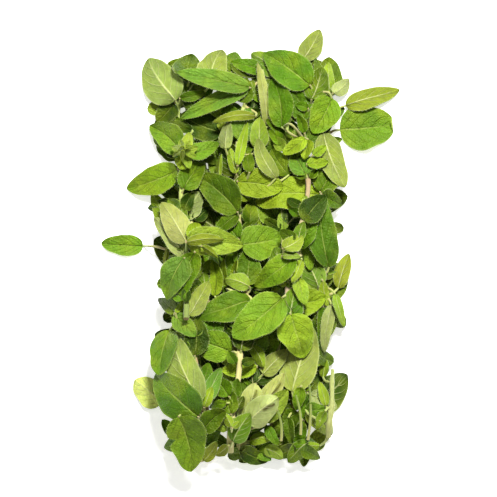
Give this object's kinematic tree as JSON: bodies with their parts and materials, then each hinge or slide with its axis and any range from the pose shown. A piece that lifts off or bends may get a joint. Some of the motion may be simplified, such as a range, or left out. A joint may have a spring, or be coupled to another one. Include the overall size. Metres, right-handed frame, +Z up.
{
  "type": "oregano bunch",
  "caption": "Loose bunch of cut leafy herb stems lying on a surface, ovate leaves in pairs along thin square stems.",
  "frame": {"origin": "on the surface under the middle of the bunch's box", "axes": "+Z up, +Y along the bunch from the cut ends to the tips, +X to the right seen from the cut ends"},
  "size_m": [0.1255, 0.191, 0.033],
  "materials": {
    "fresh_herb": "satin"
  },
  "bodies": {
    "root": {"sprig_inner_1": "fresh_herb", "sprig_inner_2": "fresh_herb", "sprig_inner_3": "fresh_herb", "sprig_inner_4": "fresh_herb", "sprig_inner_5": "fresh_herb", "sprig_right": "fresh_herb", "sprig_edge": "fresh_herb", "sprig_low": "fresh_herb", "sprig_upper_left": "fresh_herb", "sprig_centre": "fresh_herb", "sprig_left": "fresh_herb", "sprig_left_middle": "fresh_herb", "sprig_right_middle": "fresh_herb"}
  },
  "joints": []
}
